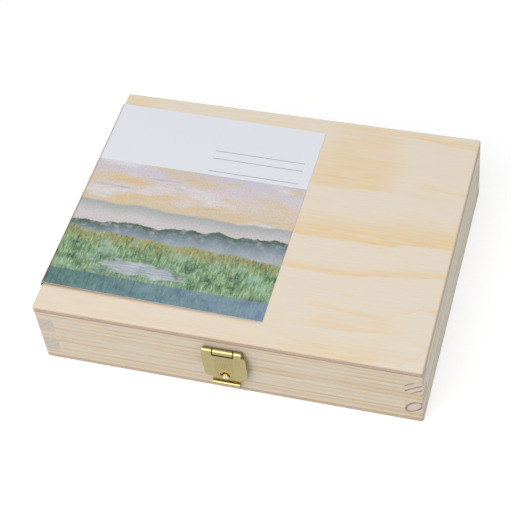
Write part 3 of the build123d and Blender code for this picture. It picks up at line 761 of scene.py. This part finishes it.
# Sky: lilac above, ochre and cream bands drawn out along the sheet, a paler patch, grey-blue streaks
dusk = add(label, "MapRange", {0: v, 1: -12, 2: 29.5})
ink = add(label, "ValToRGB", {0: dusk}, stops=[
    (0, "#DBCAAA"), (0.25, "#DDCBB0"), (0.5, "#DFD2CB"), (0.75, "#D9D0D8"),
    (1, "#CECBDA"),
])
ink = washed(ink, blotches((0.22, 1), 0.12, 0.47, 0.66), "#E2C896")
ink = washed(ink, blotches((0.4, 1), 0.06, 0.52, 0.68), "#E6E1EA")
streak_sky = both(blotches((0.12, 1), 0.2, 0.58, 0.75), blotches((1, 1), 0.03, 0.45, 0.6))
ink = washed(ink, streak_sky, "#93A4AA")
# Far hills in the haze, a wooded ridge with mist at its foot, and a meadow
far = crest(-9, 8, 30, 4, fuzz=0.6)
ink = washed(ink, under(far, 0.8), faded(far, (-9, "#D5CFD0"), (0, "#ABB1B2")))
near = crest(-19, 9, 17, 9, slope=0.05, fuzz=2.6)
ridge = faded(
    near, (-15, "#B3BAC2"), (-8, "#8D9BA5"), (-3.5, "#6F8183"), (-1.5, "#56695C"), (0, "#5C6C4E"),
)
ridge = washed(ridge, blotches((0.8, 1), 0.22, 0.5, 0.7), "#A9B2B8")
ink = washed(ink, under(near, 0.35), ridge)
meadow = crest(-33, 7, 20, 2, slope=-0.03, fuzz=4)
strokes = blotches((1, 0.2), 0.8, 0.3, 0.7, roughness=0.75)
grass = add(label, "ValToRGB", {0: strokes}, stops=[
    (0, "#3F5F4A"), (0.28, "#628763"), (0.5, "#88A97E"), (0.72, "#A9C196"),
    (1, "#D5DDC8"),
])
clumps = blotches((0.8, 1), 0.13, 0.48, 0.66)
grass = washed(grass, both(clumps, blotches((1, 0.35), 0.9, 0.3, 0.55)), "#3C5B4B")
grass = washed(grass, blotches((0.7, 1), 0.09, 0.5, 0.72), "#A6C8B4")
dry = add(label, "MapRange", {0: meadow, 1: -11, 2: -0.5, 4: 0.95})
grass = washed(grass, both(dry, blotches((1, 0.25), 0.55, 0.4, 0.58)), "#B7A062")
grass = washed(grass, both(dry, blotches((1, 0.3), 0.7, 0.56, 0.7)), "#6E5B3C")
ink = washed(ink, under(meadow, 0.5), grass)
# A pale pond on the left of the meadow, with drawn-out ripples and a ragged bank
pond_place = add(label, "Mapping", {
    "Vector": flat, "Location": (-62, -50, 0), "Scale": (34, 7.5, 1),
}, vector_type="TEXTURE")
pond_out = add(label, "VectorMath", {0: pond_place}, operation="LENGTH")
bank = add(label, "Math", {
    0: blotches((0.35, 1), 0.22, 0.3, 0.7), 1: 0.8, 2: pond_out,
}, operation="MULTIPLY_ADD")
pond_rim = add(label, "MapRange", {0: bank, 1: 1.15, 2: 1.5, 3: 0.6, 4: 0})
ink = washed(ink, both(pond_rim, blotches((1, 0.4), 0.8, 0.35, 0.6)), "#54695A")
pond = add(label, "MapRange", {0: bank, 1: 0.95, 2: 1.22, 3: 0.95, 4: 0})
water = washed("#C6CCD6", blotches((0.1, 1), 0.75, 0.42, 0.7), "#8B9BA8")
water = washed(water, blotches((0.25, 1), 0.4, 0.5, 0.68), "#A9BAA4")
ink = washed(ink, pond, water)
# Pigment settles unevenly everywhere
grains = blotches((1, 1), 1.1, 0.3, 0.7)
grain_tone = add(label, "MapRange", {0: grains, 3: 0.84, 4: 1.08})
ink = add(label, "Mix", {0: 1, 6: ink, 7: grain_tone}, blend_type="MULTIPLY")
# A clear blue band along the front, and a plain pale head with three thin rules
front_band = under(add(label, "Math", {0: v, 1: -57.6}, operation="SUBTRACT"), 0.2)
band_tint = add(label, "MapRange", {0: u, 1: -100, 2: 15})
band_colour = washed("#476E7C", band_tint, "#7C8FB2")
ink = washed(ink, both(front_band, 0.7), band_colour)
head = under(add(label, "Math", {0: 28.2, 1: v}, operation="SUBTRACT"), 0.15)
ink = washed(ink, head, "#E7EAF1")
for rule in (47.6, 41.6, 31.4):
    off = add(label, "Math", {0: v, 1: rule, 2: 0.2}, operation="COMPARE")
    along_rule = add(label, "Math", {0: u, 1: -14.8, 2: 27.8}, operation="COMPARE")
    ink = washed(ink, both(off, along_rule), "#8D93A0")
# A brown line along the fold is painted shade where its rounding turns from the light, and the cut front
# and back edges show the pale board
fold_line = add(label, "Math", {0: u, 1: -111, 2: 0.55}, operation="COMPARE")
ink = washed(ink, both(fold_line, 0.5), "#8C6448")
card_facing = add(label, "SeparateXYZ", {0: place["Normal"]}).outputs
cut_edge = add(label, "Math", {0: card_facing["Y"]}, operation="ABSOLUTE")
cut_edge = add(label, "MapRange", {0: cut_edge, 1: 0.6, 2: 0.8})
ink = washed(ink, cut_edge, "#DCE3EA")
tooth = add(label, "TexNoise", {"Vector": place["Object"], "Scale": 2600})
surfaced(label, {
    "Base Color": ink, "Roughness": 0.5, "Specular IOR Level": 0.3,
}, tooth, strength=0.12, depth=0.00005)

card = piece("printed_card", shape, label, "lid", "label_card")


# Paint tubes: drawn aluminium, squeezed flat at the back and folded twice. Each wears a paper band
# in its paint's colour and a fluted white polypropylene cap.
aluminium = blank("drawn_soft_aluminium")
place = add(aluminium, "TexCoord").outputs
handled = add(aluminium, "TexNoise", {"Vector": place["Object"], "Scale": 120, "Detail": 4})
rough = add(aluminium, "MapRange", {0: handled, 1: 0.3, 2: 0.7, 3: 0.34, 4: 0.5})
surfaced(aluminium, {
    "Base Color": "#CDCFD0", "Metallic": 1, "Roughness": rough,
}, handled, strength=0.6, depth=0.0004)

cap_plastic = blank("white_polypropylene")
place = add(cap_plastic, "TexCoord").outputs
sheen = add(cap_plastic, "TexNoise", {"Vector": place["Object"], "Scale": 900})
rough = add(cap_plastic, "MapRange", {0: sheen, 3: 0.3, 4: 0.42})
surfaced(cap_plastic, {
    "Base Color": "#E9E8E4", "Roughness": rough, "Subsurface Weight": 0.1,
    "Subsurface Radius": (0.002, 0.002, 0.002),
})


def paper_band(name, paint):
    """Matt paper band: a broad stripe of the paint's colour between pale margins with thin edge lines."""
    band = blank(name)
    place = add(band, "TexCoord").outputs
    spot = add(band, "SeparateXYZ", {0: place["Object"]}).outputs
    along = add(band, "MapRange", {0: spot["Y"], 1: -0.0115, 2: 0.0185})
    stripes = add(band, "ValToRGB", {0: along}, stops=[
        (0, "#E7E5DF"), (0.12, "#E7E5DF"), (0.125, paint), (0.145, "#E7E5DF"),
        (0.19, paint), (0.66, "#E7E5DF"), (0.93, paint), (0.955, "#E7E5DF"),
    ])
    stripes.color_ramp.interpolation = "CONSTANT"
    fibre = add(band, "TexNoise", {"Vector": place["Object"], "Scale": 1500, "Detail": 3})
    tone = add(band, "MapRange", {0: fibre, 1: 0.3, 2: 0.7, 3: 0.94, 4: 1.03})
    colour = add(band, "Mix", {0: 1, 6: stripes, 7: tone}, blend_type="MULTIPLY")
    surfaced(band, {
        "Base Color": colour, "Roughness": 0.55, "Specular IOR Level": 0.3,
    }, fibre, strength=0.15, depth=0.00005)
    return band


tube_z, tube_radius, neck_radius, fold_half, fold_high, bay_floor = 13.75, 10.5, 4.5, 15.6, 1.0, 3.25
shoulder_from, shoulder_to, flat_from, flat_to = -17.0, -13.5, 20.5, 64.25


def squeezed(y):
    """Half width, half height and middle height of a tube's section at y, in mm: round, then flat."""
    if y < shoulder_to:
        risen = math.sin((y - shoulder_from) / (shoulder_to - shoulder_from) * math.pi / 2)
        radius = tube_radius / 2 * (1 + risen)
        return radius, radius, tube_z
    flat_share = min(1.0, max(0.0, (y - flat_from) / (flat_to - flat_from)))
    eased = flat_share * flat_share * (3 - 2 * flat_share)
    high = tube_radius * (1 - eased) + fold_high * eased
    wide = tube_radius + (fold_half - tube_radius) * math.sin(flat_share * math.pi / 2) ** 1.2
    return wide, high, bay_floor + high


def circle(shape, segments, radius, middle):
    """A circle round the Y axis, in mm; gives its vertices."""
    return bmesh.ops.create_circle(
        shape, segments=segments, radius=radius,
        matrix=Matrix.Translation(middle) @ Matrix.Rotation(math.pi / 2, 4, "X"),
    )["verts"]


neck_front, cap_front, cap_face = -26.5, -32.75, 6.88
band_front, band_length, band_thick = -11.5, 30.0, 0.07
# A cap from its front to inside its neck: y, radius and how fully its flutes are cut
cap_profile = (
    (-32.7, 7.2, 0), (-32.5, 7.6, 0.5), (-32, 7.95, 0.9), (-31.4, 8, 1), (-17.8, 8, 1), (-17.75, 7.9, 1),
    (-17.75, 4.7, 0), (-26, 4.7, 0),
)
bay_middles = (-82.0, -41.0, 0.0, 41.0, 82.0)
paints = ("#E2B93A", "#B93A2E", "#2F5C9E", "#3F7A4E", "#7A4A2B")
for number, (bay_x, paint) in enumerate(zip(bay_middles, paints), start=1):
    shape = bmesh.new()
    ring = circle(shape, 56, neck_radius, (0, neck_front, tube_z))
    edges = shape.edges[:]
    angles = {vertex: math.atan2(vertex.co.z - tube_z, vertex.co.x) for vertex in ring}
    stations = [-17.05, -17.0, -16.2, -15.4, -14.6, -14.0, -13.5, -12.0, 4.0, 19.0]
    stations += [flat_from + (flat_to - flat_from) * k / 22 for k in range(1, 23)]
    for y in stations:
        made = bmesh.ops.extrude_edge_only(shape, edges=edges)["geom"]
        edges = only(BMEdge, made)
        for vertex in only(BMVert, made):
            turn = math.atan2(vertex.co.z - tube_z, vertex.co.x) if y < 20 else angles[min(
                angles, key=lambda known: (known.co - vertex.co).length_squared,
            )]
            angles[vertex] = turn
            wide, high, middle = (neck_radius, neck_radius, tube_z) if y < -17.02 else squeezed(y)
            dent = 0.35 * noise.noise(Vector((turn * 1.3, y * 0.09, number * 7.3))) if y > 22 else 0.0
            dent *= min(1.0, max(0.0, (y - 20) / 8)) * min(1.0, max(0.0, (64.3 - y) / 8))
            x, z = (wide + dent) * math.cos(turn), (high + 0.6 * dent) * math.sin(turn)
            vertex.co = (x, y, middle + z)
        angles = {v: angles[v] for e in edges for v in e.verts}
    bmesh.ops.contextual_create(shape, geom=edges)
    # The folded end: one turn of flattened tube under another, a little narrower and set back
    for size, place in (((31.0, 8.0, 1.5), (0, 68.2, 3.95)), ((30.5, 6.9, 1.2), (0, 68.5, 5.0))):
        turn_over = bmesh.ops.create_cube(shape, size=1.0)["verts"]
        bmesh.ops.scale(shape, vec=size, verts=turn_over)
        bmesh.ops.translate(shape, vec=place, verts=turn_over)
        sides = list({edge for vertex in turn_over for edge in vertex.link_edges})
        bmesh.ops.bevel(
            shape, geom=sides, offset=0.45, segments=4, profile=0.5, affect="EDGES", material=-1,
        )
    bmesh.ops.translate(shape, vec=(bay_x, 0, 0), verts=shape.verts)
    tube = piece(
        f"tube_{number}_squeezed", shape, aluminium, f"tube_{number}", f"paint_tube_{number}", soft=50,
    )

    shape = bmesh.new()
    circle(shape, 72, tube_radius + 0.08, (bay_x, band_front, tube_z))
    made = bmesh.ops.extrude_edge_only(shape, edges=shape.edges[:])["geom"]
    bmesh.ops.translate(shape, vec=(0, band_length, 0), verts=only(BMVert, made))
    bmesh.ops.recalc_face_normals(shape, faces=shape.faces)
    bmesh.ops.solidify(shape, geom=shape.faces[:], thickness=band_thick)
    band = piece(
        f"tube_band_{number}_paper", shape, paper_band(f"paper_band_{number}", paint), f"tube_{number}",
        f"tube_label_{number}",
    )

    # Cap: 24 flutes round, closed at the front and open where the neck goes in
    shape = bmesh.new()
    circle(shape, 96, cap_face, (0, cap_front, 0))
    edges = shape.edges[:]
    for y, radius, cut in cap_profile:
        made = bmesh.ops.extrude_edge_only(shape, edges=edges)["geom"]
        edges = only(BMEdge, made)
        for vertex in only(BMVert, made):
            turn = math.atan2(vertex.co.z, vertex.co.x)
            reach = radius - 0.4 * cut * (0.5 + 0.5 * math.cos(24 * turn))
            vertex.co = (reach * math.cos(turn), y, reach * math.sin(turn))
    bmesh.ops.holes_fill(shape, edges=[edge for edge in shape.edges if edge.is_boundary], sides=0)
    bmesh.ops.translate(shape, vec=(bay_x, 0, tube_z), verts=shape.verts)
    cap = piece(
        f"tube_cap_{number}_fluted", shape, cap_plastic, f"cap_{number}", f"tube_cap_{number}", soft=40,
    )
